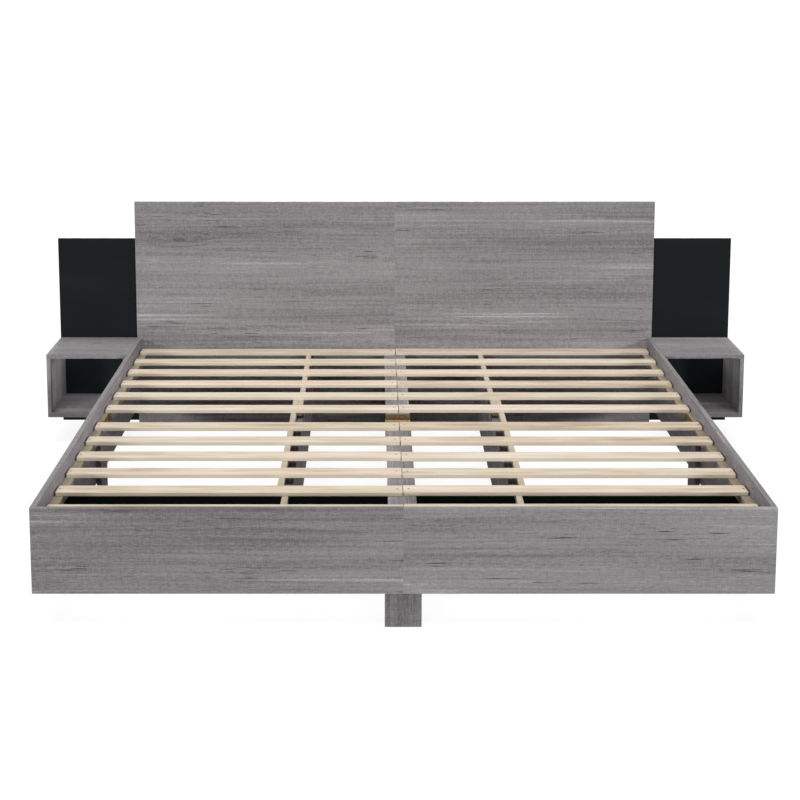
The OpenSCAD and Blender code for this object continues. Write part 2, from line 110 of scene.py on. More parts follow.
# The raw boards' top colours, painted paler than their sides as painted light
PAINTED_LIT_TOP_TONES = ((0.3, srgb(142, 128, 102)), (0.7, srgb(172, 158, 130)))
ZINC_TONES = ((0.0, (150, 150, 148)), (0.5, (186, 187, 188)), (1.0, (214, 215, 218)))

# Single colours of the pine's marks and of rubbed edges, and of painted shade: the sawn faces'
# colour is a rough grey also darkened as painted shade, and the cut ends' colour is painted shade
KNOT_HALO = srgb(186, 152, 112)
KNOT_HEART = srgb(118, 86, 60)
SAWN_AND_SHADED_FACE = srgb(198, 192, 178)
CUT_END_SHADE = srgb(66, 58, 46)
RUBBED_GREY = srgb(172, 170, 170)
RUBBED_BLACK = srgb(74, 78, 82)
RUBBED_PINE = srgb(204, 186, 154)
RUBBED_FLAKES = srgb(92, 72, 50)


class Graph:
    """A node tree of one material, with short calls for the nodes that the finishes use."""

    def __init__(self, name):
        self.material = bpy.data.materials.new(name)
        self.material.use_nodes = True
        self.tree = self.material.node_tree
        self.tree.nodes.clear()
        self.out = self.node("ShaderNodeOutputMaterial")
        self.coords = self.node("ShaderNodeTexCoord")

    def node(self, kind, **settings):
        made = self.tree.nodes.new(kind)
        for key, value in settings.items():
            setattr(made, key, value)
        return made

    def feed(self, socket, source):
        """Links another node's output to a socket, or sets the socket's own value."""
        if isinstance(source, bpy.types.NodeSocket):
            self.tree.links.new(source, socket)
        else:
            socket.default_value = source

    def math(self, operation, a, b=None):
        made = self.node("ShaderNodeMath", operation=operation)
        self.feed(made.inputs[0], a)
        if b is not None:
            self.feed(made.inputs[1], b)
        return made.outputs[0]

    def vector(self, operation, a, b):
        made = self.node("ShaderNodeVectorMath", operation=operation)
        self.feed(made.inputs[0], a)
        self.feed(made.inputs[1], b)
        return made.outputs[0]

    def split(self, vector):
        made = self.node("ShaderNodeSeparateXYZ")
        self.feed(made.inputs[0], vector)
        return made.outputs

    def join(self, x, y, z):
        made = self.node("ShaderNodeCombineXYZ")
        for socket, source in zip(made.inputs, (x, y, z)):
            self.feed(socket, source)
        return made.outputs[0]

    def noise(self, vector, stretch, detail=2.0, roughness=0.5, distortion=0.0):
        """Perlin noise of a vector that is scaled by a triple, in cells per metre."""
        made = self.node("ShaderNodeTexNoise")
        self.feed(made.inputs["Vector"], self.vector("MULTIPLY", vector, stretch))
        made.inputs["Scale"].default_value = 1.0
        made.inputs["Detail"].default_value = detail
        made.inputs["Roughness"].default_value = roughness
        made.inputs["Distortion"].default_value = distortion
        return made.outputs["Fac"]

    def cells(self, vector, stretch, output="Distance"):
        """Voronoi cells: the distance to the nearest cell's point, or each cell's chance Color."""
        made = self.node("ShaderNodeTexVoronoi")
        self.feed(made.inputs["Vector"], self.vector("MULTIPLY", vector, stretch))
        made.inputs["Scale"].default_value = 1.0
        return made.outputs[output]

    def remap(self, value, low, high, to_low=0.0, to_high=1.0):
        """A value from low to high as a smooth step from to_low to to_high, held beyond them."""
        made = self.node("ShaderNodeMapRange", interpolation_type="SMOOTHSTEP")
        self.feed(made.inputs["Value"], value)
        made.inputs["From Min"].default_value = low
        made.inputs["From Max"].default_value = high
        made.inputs["To Min"].default_value = to_low
        made.inputs["To Max"].default_value = to_high
        return made.outputs["Result"]

    def centred(self, noise, gain):
        """A noise value as a swing about zero."""
        return self.math("MULTIPLY", self.math("SUBTRACT", noise, 0.5), gain)

    def total(self, *terms):
        """The sum of some values."""
        result = terms[0]
        for term in terms[1:]:
            result = self.math("ADD", result, term)
        return result

    def ramp(self, value, stops):
        """The colour at a value, from stops of a place and a colour."""
        made = self.node("ShaderNodeValToRGB")
        self.feed(made.inputs[0], value)
        elements = made.color_ramp.elements
        while len(elements) < len(stops):
            elements.new(0.5)
        for element, (place, colour) in zip(elements, stops):
            element.position = place
            element.color = colour
        return made.outputs["Color"]

    def mix(self, factor, a, b, blend="MIX"):
        made = self.node("ShaderNodeMix", data_type="RGBA", blend_type=blend)
        self.feed(made.inputs["Factor"], factor)
        self.feed(made.inputs["A"], a)
        self.feed(made.inputs["B"], b)
        return made.outputs["Result"]

    def bump(self, height, strength, distance):
        made = self.node("ShaderNodeBump")
        made.inputs["Strength"].default_value = strength
        made.inputs["Distance"].default_value = distance
        self.feed(made.inputs["Height"], height)
        return made.outputs["Normal"]

    def surface(self, colour, roughness, normal, metallic=0.0, specular=0.5):
        """Closes the tree with one shader, and returns the finished material."""
        shader = self.node("ShaderNodeBsdfPrincipled")
        self.feed(shader.inputs["Base Color"], colour)
        self.feed(shader.inputs["Roughness"], roughness)
        shader.inputs["Metallic"].default_value = metallic
        shader.inputs["Specular IOR Level"].default_value = specular
        self.feed(shader.inputs["Normal"], normal)
        self.tree.links.new(shader.outputs[0], self.out.inputs["Surface"])
        return self.material


def grain_space(g, axis, rng, split_x=None):
    """Object coordinates turned so that the grain runs along their X, shifted by chance.

    Where split_x is given, what lies beyond it comes from another board, and the second value
    that is returned is 1 there."""
    xyz = g.split(g.coords.outputs["Object"])
    order = [AXES[axis]] + [i for i in range(3) if i != AXES[axis]]
    turned = g.join(*(xyz[i] for i in order))
    shift = tuple(rng.uniform(-GRAIN_SHIFT, GRAIN_SHIFT) for _ in range(3))
    vector = g.vector("ADD", turned, shift)
    if split_x is None:
        return vector, None
    beyond = g.math("GREATER_THAN", xyz[0], split_x)
    step = g.join(g.math("MULTIPLY", beyond, NEXT_BOARD), 0.0, beyond)
    return g.vector("ADD", vector, step), beyond


def warped(g, vector, stretch, reach):
    """The vector with its cross-grain parts bent by slow noise, so that the grain wanders."""
    x, y, z = g.split(vector)
    bend = g.centred(g.noise(vector, stretch, detail=1.0), reach)
    return g.join(x, g.math("ADD", y, bend), g.math("ADD", z, bend))


def nearer_end(g, part, low, high):
    """The distance of one coordinate to the nearer end of its range."""
    return g.math("MINIMUM", g.math("SUBTRACT", part, low), g.math("SUBTRACT", high, part))


def edge_nearness(g, lo, hi, reach):
    """1 on the edges of a box, falling to 0 at a distance of reach from them.

    That distance is the second smallest of those to the box's three pairs of faces."""
    xyz = g.split(g.coords.outputs["Object"])
    near = [nearer_end(g, part, low, high) for part, low, high in zip(xyz, lo, hi)]
    small = g.math("MINIMUM", near[0], near[1])
    large = g.math("MAXIMUM", near[0], near[1])
    second = g.math("MAXIMUM", small, g.math("MINIMUM", large, near[2]))
    return g.remap(second, 0.0, reach, 1.0, 0.0)


def end_face(g, axis):
    """1 on the faces that the grain runs into, which show end grain."""
    normal = g.split(g.coords.outputs["Normal"])
    return g.remap(g.math("ABSOLUTE", normal[AXES[axis]]), 0.6, 0.9)


def rubbed(g, colour, pale, strength, near, patches):
    """A colour whose edges are rubbed pale in patches."""
    worn = g.math("MULTIPLY", near, patches)
    return g.mix(g.math("MULTIPLY", worn, strength), colour, pale)


def chipboard(g, vector):
    """Colour of unfaced brown chipboard, and the flakes' own heights."""
    flakes = g.split(g.cells(vector, (160.0, 420.0, 420.0), "Color"))[0]
    clouds = g.noise(vector, (9.0, 22.0, 22.0), detail=3.0)
    value = g.total(0.5, g.centred(flakes, 0.55), g.centred(clouds, 0.7))
    return g.ramp(value, FLAKE_TONES), flakes


def grey_laminate(name, axis, box, rng, tone=0.0, raw_ends=False):
    """Printed grey wood: slow bands, streaks, pores, knots, dark cracks, pale wisps and saw marks.

    Tone makes a board lighter or, below zero, darker; on the boards under the deck the darker tone
    is painted shade. With raw_ends, the faces that the grain runs into have no laminate."""
    g = Graph(name)
    base, _ = grain_space(g, axis, rng)
    vector = warped(g, base, (1.3, 9.0, 9.0), 0.016)
    knots = g.cells(vector, (1.5, 5.2, 5.2))
    swirl = g.remap(knots, 0.04, 0.24, 0.010, 0.0)
    x, y, z = g.split(vector)
    vector = g.join(x, g.math("ADD", y, swirl), g.math("ADD", z, swirl))
    bands = g.centred(g.noise(vector, (0.4, 6.0, 6.0), detail=3.0, roughness=0.5), 0.85)
    streaks = g.centred(g.noise(vector, (1.3, 60.0, 60.0), detail=1.0), 0.22)
    lines = g.centred(g.noise(vector, (2.4, 150.0, 150.0), detail=2.0), 0.46)
    pores = g.noise(vector, (70.0, 430.0, 430.0), detail=2.0, roughness=0.7)
    saw_marks = g.centred(g.noise(base, (300.0, 40.0, 40.0), detail=1.0), 0.30)
    clusters = g.remap(g.noise(vector, (1.5, 11.0, 11.0)), 0.50, 0.60)
    cracks = g.noise(vector, (9.0, 230.0, 230.0), detail=1.0, roughness=0.6)
    dark = g.math("MULTIPLY", g.remap(cracks, 0.662, 0.722), clusters)
    places = g.remap(g.noise(vector, (0.8, 12.0, 12.0)), 0.52, 0.62)
    wisps = g.noise(vector, (0.9, 120.0, 120.0), detail=1.0)
    pale = g.math("MULTIPLY", g.remap(wisps, 0.55, 0.70), places)
    value = g.total(
        0.5 + tone, bands, streaks, lines, g.centred(pores, 0.76), saw_marks,
        g.math("MULTIPLY", dark, -0.60), g.math("MULTIPLY", pale, 0.30),
        g.remap(knots, 0.02, 0.06, -0.22, 0.0),
    )
    colour = g.ramp(value, GREY_TONES)
    patches = g.noise(base, (60.0, 60.0, 60.0))
    colour = rubbed(g, colour, RUBBED_GREY, 0.35, edge_nearness(g, *box, BOARD_RUB), patches)
    if raw_ends:
        colour = g.mix(end_face(g, axis), colour, chipboard(g, base)[0])
    roughness = g.math("ADD", g.math("MULTIPLY", pores, 0.2), 0.50)
    height = g.total(
        pores, saw_marks, g.math("MULTIPLY", dark, -1.4), g.math("MULTIPLY", pale, 0.4),
    )
    return g.surface(colour, roughness, g.bump(height, 0.35, 0.25 * MM), specular=0.04)


def black_laminate(name, axis, box, rng):
    """Matte charcoal laminate with a faint pressed grain and pale rubbed edges."""
    g = Graph(name)
    vector, _ = grain_space(g, axis, rng)
    clouds = g.noise(vector, (2.0, 9.0, 9.0), detail=2.0)
    fibres = g.noise(vector, (26.0, 520.0, 520.0), detail=2.0)
    value = g.total(0.5, g.centred(clouds, 0.8), g.centred(fibres, 0.6))
    colour = g.ramp(value, BLACK_TONES)
    patches = g.noise(vector, (90.0, 90.0, 90.0))
    colour = rubbed(g, colour, RUBBED_BLACK, 0.25, edge_nearness(g, *box, THIN_RUB), patches)
    roughness = g.math("ADD", g.math("MULTIPLY", fibres, 0.2), 0.5)
    return g.surface(colour, roughness, g.bump(fibres, 0.3, 0.2 * MM), specular=0.08)


def pine(name, axis, box, rng, sawn, split_x=None, painted_shade=None, end_shade=0.0):
    """Bare planed pine: pale early wood, thin late-wood lines, a few knots and end grain.

    The faces that look along the axis named by sawn are rough and greyer, and also darkened as
    painted shade. A shade colour, where given, darkens all faces as painted shade, and the last
    argument is how far painted shade darkens the cut ends, from 0 to 1."""
    g = Graph(name)
    base, beyond = grain_space(g, axis, rng, split_x)
    vector = warped(g, base, (1.6, 12.0, 12.0), 0.010)
    knots = g.cells(vector, (1.7, 8.0, 8.0))
    swirl = g.remap(knots, 0.03, 0.22, 0.008, 0.0)
    x, y, z = g.split(vector)
    vector = g.join(x, g.math("ADD", y, swirl), g.math("SUBTRACT", z, swirl))
    boards = g.noise(vector, (0.5, 5.0, 5.0), detail=1.0)
    rings = g.noise(vector, (1.1, 95.0, 95.0), detail=2.0, roughness=0.5)
    late = g.remap(rings, 0.52, 0.66)
    streaks = g.noise(vector, (4.5, 34.0, 34.0), detail=2.0)
    fibres = g.noise(vector, (26.0, 700.0, 700.0), detail=2.0)
    specks = g.remap(g.noise(vector, (42.0, 300.0, 300.0)), 0.68, 0.76)
    value = g.total(
        0.53, g.centred(boards, 0.8), g.math("MULTIPLY", late, -0.17), g.centred(streaks, 1.2),
        g.centred(rings, 0.35), g.centred(fibres, 0.40), g.math("MULTIPLY", specks, -0.25),
    )
    colour = g.ramp(value, PINE_TONES)
    warm = g.noise(vector, (0.8, 4.0, 4.0), detail=2.0)
    if beyond is not None:
        warm = g.math("ADD", warm, g.math("MULTIPLY", beyond, rng.uniform(-0.12, 0.12)))
    colour = g.mix(1.0, colour, g.ramp(warm, PINE_TINTS), "MULTIPLY")
    heart = g.remap(knots, 0.022, 0.045, 1.0, 0.0)
    halo = g.remap(knots, 0.035, 0.100, 0.40, 0.0)
    colour = g.mix(halo, colour, KNOT_HALO)
    colour = g.mix(g.math("MULTIPLY", heart, 0.8), colour, KNOT_HEART)
    # Partly painted shade: the sawn faces are a rougher grey wood, and are darkened further for the
    # shade they lie in
    across = g.split(g.coords.outputs["Normal"])[AXES[sawn]]
    sides = g.remap(g.math("ABSOLUTE", across), 0.35, 0.85)
    sawn_shade_mix = g.math("ADD", g.math("MULTIPLY", fibres, 0.4), 0.42)
    colour = g.mix(g.math("MULTIPLY", sides, sawn_shade_mix), colour, SAWN_AND_SHADED_FACE)
    arcs = g.noise(base, (0.0, 260.0, 260.0), detail=1.0, distortion=0.8)
    colour = g.mix(end_face(g, axis), colour, g.ramp(arcs, END_TONES))
    patches = g.noise(base, (40.0, 80.0, 80.0))
    colour = rubbed(g, colour, RUBBED_PINE, 0.35, edge_nearness(g, *box, BOARD_RUB), patches)
    # Painted shade: the cut ends are darkened for the shadow in the gap between a slat's end and
    # the rail
    if end_shade:
        along = g.split(g.coords.outputs["Object"])[AXES[axis]]
        to_end = nearer_end(g, along, box[0][AXES[axis]], box[1][AXES[axis]])
        painted_end_shade = g.remap(to_end, CUT_END_START, CUT_END_REACH, end_shade, 0.0)
        colour = g.mix(painted_end_shade, colour, CUT_END_SHADE)
    # Painted shade: this colour darkens the whole piece for the shade under the deck
    if painted_shade:
        colour = g.mix(1.0, colour, painted_shade, "MULTIPLY")
    roughness = g.math("ADD", g.math("MULTIPLY", late, -0.08), 0.68)
    height = g.total(
        fibres, g.math("MULTIPLY", late, 0.7), g.math("MULTIPLY", heart, -0.8),
        g.math("MULTIPLY", g.math("MULTIPLY", sides, fibres), 1.5),
    )
    return g.surface(colour, roughness, g.bump(height, 0.4, 0.25 * MM), specular=0.2)


def raw_board(name, axis, box, rng):
    """Unfaced brown chipboard: pressed flakes, evenly brown edges, and a pale top whose paleness is
    painted light.
    """
    g = Graph(name)
    vector, _ = grain_space(g, axis, rng)
    colour, flakes = chipboard(g, vector)
    near = edge_nearness(g, *box, THIN_RUB)
    colour = g.mix(g.math("MULTIPLY", near, 0.3), colour, RUBBED_FLAKES)
    # Painted light: the top face is made paler than the sides
    top = g.remap(g.split(g.coords.outputs["Normal"])[2], 0.6, 0.9)
    planed = g.noise(vector, (6.0, 90.0, 90.0), detail=2.0)
    colour = g.mix(top, colour, g.ramp(planed, PAINTED_LIT_TOP_TONES))
    return g.surface(colour, 0.8, g.bump(flakes, 0.5, 0.3 * MM), specular=0.12)


def zinc(name, rng, pale=1.0):
    """Zinc plating with a fine brushed grain and dull patches, darker where pale is under 1, which
    on the slat screws is painted shade.
    """
    g = Graph(name)
    vector, _ = grain_space(g, "z", rng)
    spangle = g.cells(vector, (420.0, 420.0, 420.0), "Color")
    patches = g.noise(vector, (90.0, 90.0, 90.0), detail=3.0)
    value = g.total(0.5, g.centred(g.split(spangle)[0], 0.25), g.centred(patches, 0.6))
    tones = [(place, srgb(*(int(part * pale) for part in tone))) for place, tone in ZINC_TONES]
    colour = g.ramp(value, tones)
    brushed = g.noise(vector, (60.0, 2400.0, 2400.0))
    roughness = g.math("ADD", g.math("MULTIPLY", patches, 0.3), 0.22)
    return g.surface(colour, roughness, g.bump(brushed, 0.25, 0.05 * MM), metallic=1.0)


def make_edge_marks():
    """A node group that marks sharp edges, and gives bevel weight to the long ones alone.

    The rims of screw and dowel holes are short edges, so they stay crisp."""
    group = bpy.data.node_groups.new("mark_long_edges", "GeometryNodeTree")
    for way in ("INPUT", "OUTPUT"):
        group.interface.new_socket("Geometry", in_out=way, socket_type="NodeSocketGeometry")

    def node(kind, **settings):
        made = group.nodes.new(kind)
        for key, value in settings.items():
            setattr(made, key, value)
        return made

    start, end = node("NodeGroupInput"), node("NodeGroupOutput")
    angle = node("GeometryNodeInputMeshEdgeAngle")
    sharp = node("FunctionNodeCompare", data_type="FLOAT", operation="GREATER_THAN")
    sharp.inputs[1].default_value = math.radians(SHARP_ANGLE)
    group.links.new(angle.outputs["Unsigned Angle"], sharp.inputs[0])
    ends = node("GeometryNodeInputMeshEdgeVertices")
    length = node("ShaderNodeVectorMath", operation="DISTANCE")
    group.links.new(ends.outputs["Position 1"], length.inputs[0])
    group.links.new(ends.outputs["Position 2"], length.inputs[1])
    long = node("FunctionNodeCompare", data_type="FLOAT", operation="GREATER_THAN")
    long.inputs[1].default_value = LONG_EDGE
    group.links.new(length.outputs["Value"], long.inputs[0])
    both = node("FunctionNodeBooleanMath", operation="AND")
    group.links.new(sharp.outputs["Result"], both.inputs[0])
    group.links.new(long.outputs["Result"], both.inputs[1])
    smooth = node("GeometryNodeSetShadeSmooth", domain="FACE")
    group.links.new(start.outputs[0], smooth.inputs["Geometry"])
    crisp = node("GeometryNodeSetShadeSmooth", domain="EDGE")
    crisp.inputs["Shade Smooth"].default_value = False
    group.links.new(smooth.outputs[0], crisp.inputs["Geometry"])
    group.links.new(sharp.outputs["Result"], crisp.inputs["Selection"])
    store = node("GeometryNodeStoreNamedAttribute", data_type="FLOAT", domain="EDGE")
    store.inputs["Name"].default_value = "bevel_weight_edge"
    group.links.new(crisp.outputs[0], store.inputs["Geometry"])
    group.links.new(both.outputs[0], store.inputs["Value"])
    group.links.new(store.outputs[0], end.inputs[0])
    return group


def eased(obj, width, steps):
    """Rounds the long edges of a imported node, whose own mesh stays as it is."""
    weld = obj.modifiers.new("join_corners", "WELD")
    weld.merge_threshold = JOIN_REACH
    marks = obj.modifiers.new("mark_long_edges", "NODES")
    marks.node_group = EDGE_MARKS
    bevel = obj.modifiers.new("eased_edges", "BEVEL")
    bevel.width = width
    bevel.segments = steps
    bevel.limit_method = "WEIGHT"
    bevel.harden_normals = True
    bevel.use_clamp_overlap = True


EDGE_MARKS = make_edge_marks()


def dress(name, material, ease, steps=EASE_STEPS):
    """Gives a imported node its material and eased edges."""
    obj = nodes[name]
    obj.data.materials.clear()
    obj.data.materials.append(material)
    eased(obj, ease, steps)


def box_of(name):
    """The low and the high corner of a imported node's box."""
    low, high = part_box(name)
    return tuple(low), tuple(high)


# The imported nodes, by the axis that their grain runs along and by what they are made of
SIDES = ("left", "right")
GRAIN_X = [f"{part}_{side}" for part in ("headboard", "footboard", "stand_top", "stand_bottom")
           for side in SIDES]
GRAIN_Y = ["centre_beam_front", "centre_beam_rear"]
GRAIN_Y += [f"{part}_{side}" for side in SIDES
            for part in ("side_rail_front", "side_rail_rear", "stringer_front", "stringer_rear")]
GRAIN_Z = ["headboard_batten", "front_leg", "centre_leg_mid", "centre_legs_ends", "stringer_feet"]
GRAIN_Z += [f"{part}_{side}" for part in ("side_leg", "stand_outer_side", "stand_inner_side")
            for side in SIDES]
# The wing panels are black laminate. The cross boards get the same black finish partly as painted
# shade, so that the gap behind the last slat shows dark
BLACK_BOARDS_AND_SHADE = [f"{part}_{side}" for part in ("wing_panel", "cross_board") for side in SIDES]
SLAT_ROWS = [f"slat_row_{row:02d}" for row in range(1, 13)]
STRIPS = ["slat_strips_side", "slat_strips_top", "slat_strips_foot"]
LEDGERS = [f"ledger_{part}_{side}" for part in ("front", "rear") for side in SIDES]
BLOCKS = ["ledger_blocks", "beam_joint_block"]

# How much lighter a laminate board is than a plain one, where the darker stringers and side legs
# are painted shade, the boards whose ends show chipboard, and the painted shade colours that darken
# the strips and the ledgers
BOARD_TONES_AND_SHADE = {
    "headboard_right": 0.02, "footboard_left": 0.02, "footboard_right": 0.03, "front_leg": -0.07,
    "stand_top_left": -0.04, "stand_top_right": 0.05,
}
# Painted shade: the stringers and the side legs under the deck are darkened
BOARD_TONES_AND_SHADE |= {f"stringer_{part}_{side}": -0.22 for part in ("front", "rear") for side in SIDES}
BOARD_TONES_AND_SHADE |= {f"side_leg_{side}": -0.17 for side in SIDES}
RAW_ENDED = ("centre_beam_front", "centre_beam_rear")
# Painted shade for the strips and the ledgers under the deck; the strips' colour also greys them
STRIP_PAINTED_SHADE = srgb(220, 222, 221)
LEDGER_PAINTED_SHADE = srgb(180, 179, 174)

# Where each row's two slats meet, and how far painted shade darkens their cut ends
SLAT_SPLIT_X = 3 * MM
SLAT_END_SHADE = 0.9


def dress_boards(rng):
    for axis, names in (("x", GRAIN_X), ("y", GRAIN_Y), ("z", GRAIN_Z)):
        for name in names:
            material = grey_laminate(
                f"grey_laminate_{name}", axis, box_of(name), rng,
                BOARD_TONES_AND_SHADE.get(name, 0.0), name in RAW_ENDED,
            )
            dress(name, material, BOARD_EASE)
    for name in BLACK_BOARDS_AND_SHADE:
        dress(name, black_laminate(f"black_laminate_{name}", "x", box_of(name), rng), BOARD_EASE)


def dress_timber(rng):
    for name in SLAT_ROWS:
        material = pine(f"pine_{name}", "x", box_of(name), rng, "y", SLAT_SPLIT_X, end_shade=SLAT_END_SHADE)
        dress(name, material, SLAT_EASE, SLAT_EASE_STEPS)
    for names, painted_shade in ((STRIPS, STRIP_PAINTED_SHADE), (LEDGERS, LEDGER_PAINTED_SHADE)):
        for name in names:
            material = pine(f"pine_{name}", "y", box_of(name), rng, "x", painted_shade=painted_shade)
            dress(name, material, STRIP_EASE)
    for name in BLOCKS:
        dress(name, raw_board(f"raw_board_{name}", "y", box_of(name), rng), BOARD_EASE)


# Hardware. Shares are of the piece's own radius, and along it of its length. A corner lies on
# an end beyond END_SHARE of the way there from the middle
RING_POINTS = 16
END_SHARE = 0.98

# A cross recess: its arms' reach and half width, and how both narrow at the floor and widen
# at the rim
CROSS_ARM = 0.56
CROSS_HALF = 0.16
CROSS_FLOOR = (0.55, 0.8)
CROSS_RIM = (1.08, 1.5)
CROSS_RIM_DEPTH = 0.12 * MM

# A screw: a bevelled head down to HEAD_END, a plain neck and a thread up to the tip
SCREW_RECESS = 1.3 * MM
HEAD_FACE = 0.88
HEAD_BEVEL = 0.25 * MM
HEAD_RIM = 0.6 * MM
HEAD_END = 1.95 * MM
NECK = 0.86
NECK_LENGTH = 0.3
THREAD_LENGTH = 0.62
THREAD_PITCH = 2.2 * MM
THREAD_ROOT = 0.72
LEAST_TURNS = 4
TIP = 0.15
TIP_GAP = 0.02 * MM

# A cam disc: its recess, and the shares and depths of the groove around it. A solid of
# cam_locks that reaches less far than CAM_DISC_REACH from its middle is a disc
CAM_DISC_REACH = 11.0 * MM
CAM_RECESS = 3.0 * MM
CAM_RECESS_SHARE = 0.62
CAM_GROOVE = ((0.74, 0.0), (0.78, 0.45 * MM), (0.90, 0.45 * MM), (0.94, 0.0), (1.0, 0.4 * MM))
CAM_BACK = 0.9
CAM_BACK_BEVEL = 0.4 * MM

# A cam bolt: a collar, a thinner shaft and a head, whose ends are bevelled
BOLT_END = 0.8
BOLT_COLLAR_BEVEL = 0.5 * MM
BOLT_STEPS = ((1.0, 0.36), (0.7, 0.40), (0.7, 0.80), (0.95, 0.84))
BOLT_HEAD = 0.95
BOLT_HEAD_BEVEL = 0.6 * MM
BOLT_TIP = 0.5

# A dowel: points around it, of which every other one lies in a flute, and its bevelled ends
DOWEL_POINTS = 36
DOWEL_FLUTE = 0.09
DOWEL_END = 0.78
DOWEL_BEVEL = 1.4 * MM


def solids_of(name):
    """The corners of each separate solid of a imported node, sorted by the solids' middles."""
    mesh = bmesh.new()
    mesh.from_mesh(nodes[name].data)
    bmesh.ops.remove_doubles(mesh, verts=mesh.verts, dist=JOIN_REACH)
    left, found = set(mesh.verts), []
    while left:
        waiting, island = [left.pop()], []
        while waiting:
            corner = waiting.pop()
            island.append(corner.co.copy())
            for link in corner.link_edges:
                other = link.other_vert(corner)
                if other in left:
                    left.remove(other)
                    waiting.append(other)
        found.append(island)
    mesh.free()
    return sorted(found, key=lambda island: tuple(round(v, 5) for v in centre_of(island)))


def centre_of(corners):
    """The middle of the box around some corners."""
    low = [min(corner[i] for corner in corners) for i in range(3)]
    high = [max(corner[i] for corner in corners) for i in range(3)]
    return Vector([(a + b) / 2 for a, b in zip(low, high)])


def turned_solid(corners):
    """Place, direction, end radii and length of a turned solid, from its wider end."""
    middle = centre_of(corners)
    reach = [max(abs(corner[i] - middle[i]) for corner in corners) for i in range(3)]
    axis = reach.index(max(reach))
    others = [i for i in range(3) if i != axis]

    def radius_at(sign):
        end = [c for c in corners if (c[axis] - middle[axis]) * sign > reach[axis] * END_SHARE]
        return max(math.hypot(*(c[i] - middle[i] for i in others)) for c in end)

    wide, narrow = radius_at(1), radius_at(-1)
    sign = 1 if wide >= narrow else -1
    direction = Vector([0, 0, 0])
    direction[axis] = -sign
    start = middle.copy()
    start[axis] += sign * reach[axis]
    return start, direction, max(wide, narrow), min(wide, narrow), 2 * reach[axis]


def placing(start, direction, spin):
    """A matrix that puts +Z along a direction, from a starting point, turned about it by spin."""
    turn = direction.to_track_quat("Z", "Y").to_matrix().to_4x4()
    return Matrix.Translation(start) @ turn @ Matrix.Rotation(spin, 4, "Z")


def add_turned(mesh, place, rings):
    """A closed solid from rings of points, which have one count: a skin and two caps."""
    made = [[mesh.verts.new(place @ Vector(point)) for point in points] for points in rings]
    for near, far in zip(made, made[1:]):
        for i in range(len(near)):
            j = (i + 1) % len(near)
            face = mesh.faces.new((near[i], near[j], far[j], far[i]))
            face.smooth = True
    mesh.faces.new(made[-1])
    mesh.faces.new(list(reversed(made[0])))


def ring(radius, z, count=RING_POINTS, flute=0.0):
    """A circle of points at a height, every other one of which lies deeper by flute."""
    points = []
    for i in range(count):
        reach = radius - flute * (i % 2)
        turn = math.tau * i / count
        points.append((reach * math.cos(turn), reach * math.sin(turn), z))
    return points


def cross_ring(arm, half, z):
    """The outline of a cross recess, which has 16 points, as a ring has."""
    quarter = [(arm, 0.0), (arm, half), (half, half), (half, arm)]
    points = []
    for turn in range(4):
        c, s = round(math.cos(turn * math.pi / 2)), round(math.sin(turn * math.pi / 2))
        points += [(x * c - y * s, x * s + y * c, z) for x, y in quarter]
    return points


def recess_rings(radius, depth):
    """The floor, walls and rim of a cross recess that a screwdriver fits."""
    arm, half = radius * CROSS_ARM, radius * CROSS_HALF
    return [
        cross_ring(arm * CROSS_FLOOR[0], half * CROSS_FLOOR[1], depth),
        cross_ring(arm, half, CROSS_RIM_DEPTH),
        cross_ring(arm * CROSS_RIM[0], half * CROSS_RIM[1], 0.0),
    ]


def add_screw(mesh, corners, rng):
    """A screw with a bevelled head, a cross recess and a ribbed shank, in a plain one's space."""
    start, direction, head, shank, length = turned_solid(corners)
    place = placing(start, direction, rng.uniform(0, math.tau))
    rings = recess_rings(head, SCREW_RECESS)
    rings += [
        ring(head * HEAD_FACE, 0.0), ring(head, HEAD_BEVEL), ring(head, HEAD_RIM),
        ring(shank * NECK, HEAD_END), ring(shank * NECK, length * NECK_LENGTH),
    ]
    turns = max(LEAST_TURNS, int(length * THREAD_LENGTH / THREAD_PITCH))
    step = length * THREAD_LENGTH / turns
    for turn in range(turns):
        z = length * NECK_LENGTH + turn * step
        rings += [ring(shank, z + step * 0.5), ring(shank * THREAD_ROOT, z + step)]
    rings += [ring(shank * TIP, length - TIP_GAP)]
    add_turned(mesh, place, rings)


def add_cam_disc(mesh, corners):
    """A cam disc with a cross recess inside a groove, which faces the nightstand's inside."""
    middle = centre_of(corners)
    low, high = box_of("stand_top_left" if middle.x < 0 else "stand_top_right")
    outward = 1 if middle.x > (low[0] + high[0]) / 2 else -1
    reach = max(abs(corner.x - middle.x) for corner in corners)
    wide = max(abs(corner.z - middle.z) for corner in corners)
    direction = Vector((outward, 0, 0))
    place = placing(middle - direction * reach, direction, math.pi / 4)
    rings = recess_rings(wide * CAM_RECESS_SHARE, CAM_RECESS)
    rings += [ring(wide * share, depth) for share, depth in CAM_GROOVE]
    rings += [ring(wide, 2 * reach - CAM_BACK_BEVEL), ring(wide * CAM_BACK, 2 * reach)]
    add_turned(mesh, place, rings)


def add_cam_part(mesh, corners, rng):
    """A cam disc, or the collared bolt that it draws in."""
    middle = centre_of(corners)
    if max((corner - middle).length for corner in corners) < CAM_DISC_REACH:
        add_cam_disc(mesh, corners)
        return
    start, direction, wide, _, length = turned_solid(corners)
    place = placing(start, direction, rng.uniform(0, math.tau))
    rings = [ring(wide * BOLT_END, 0.0), ring(wide, BOLT_COLLAR_BEVEL)]
    rings += [ring(wide * share, length * along) for share, along in BOLT_STEPS]
    rings += [ring(wide * BOLT_HEAD, length - BOLT_HEAD_BEVEL), ring(wide * BOLT_TIP, length)]
    add_turned(mesh, place, rings)


